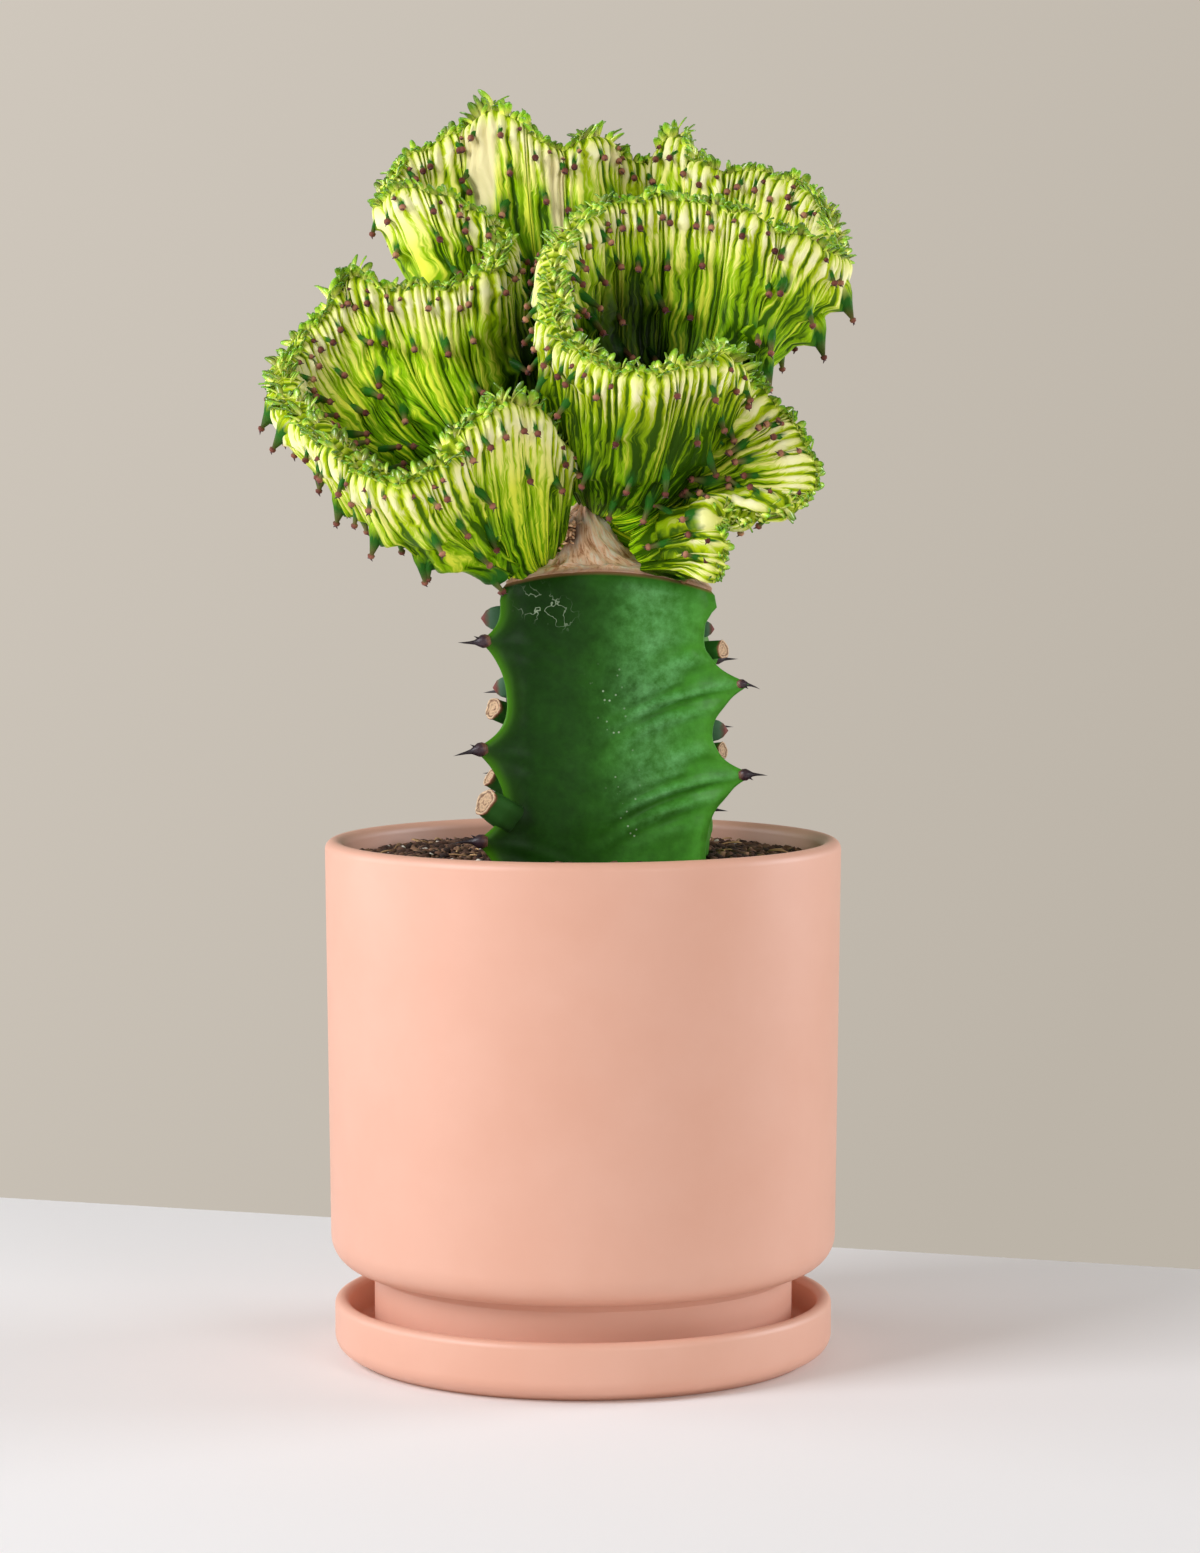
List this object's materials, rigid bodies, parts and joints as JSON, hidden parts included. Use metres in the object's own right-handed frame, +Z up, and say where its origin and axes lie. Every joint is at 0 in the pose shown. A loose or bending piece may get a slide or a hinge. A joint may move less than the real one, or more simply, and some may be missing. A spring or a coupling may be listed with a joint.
{
  "type": "potted mermaid tail cactus",
  "caption": "Grafted crested euphorbia with a wavy toothed fan on a winged green rootstock, in a straight peach ceramic pot with matching saucer.",
  "frame": {"origin": "centre of the saucer's flat underside, on the pot's axis", "axes": "+Z up along the pot's axis; the side seen in the picture faces -Y; +X is to its right"},
  "size_m": [0.169, 0.14, 0.346],
  "materials": {
    "saucer_ceramic": "satin matte glaze, pale peach",
    "pot_ceramic": "satin matte glaze, pale peach",
    "soil": null,
    "rootstock_skin": null,
    "callus_cork": "dry corky tan callus",
    "crest_skin": null
  },
  "bodies": {
    "root": {"saucer": "saucer_ceramic", "pot": "pot_ceramic", "soil": "soil", "rootstock": "rootstock_skin", "graft_callus": "callus_cork", "crest": "crest_skin"}
  },
  "joints": []
}
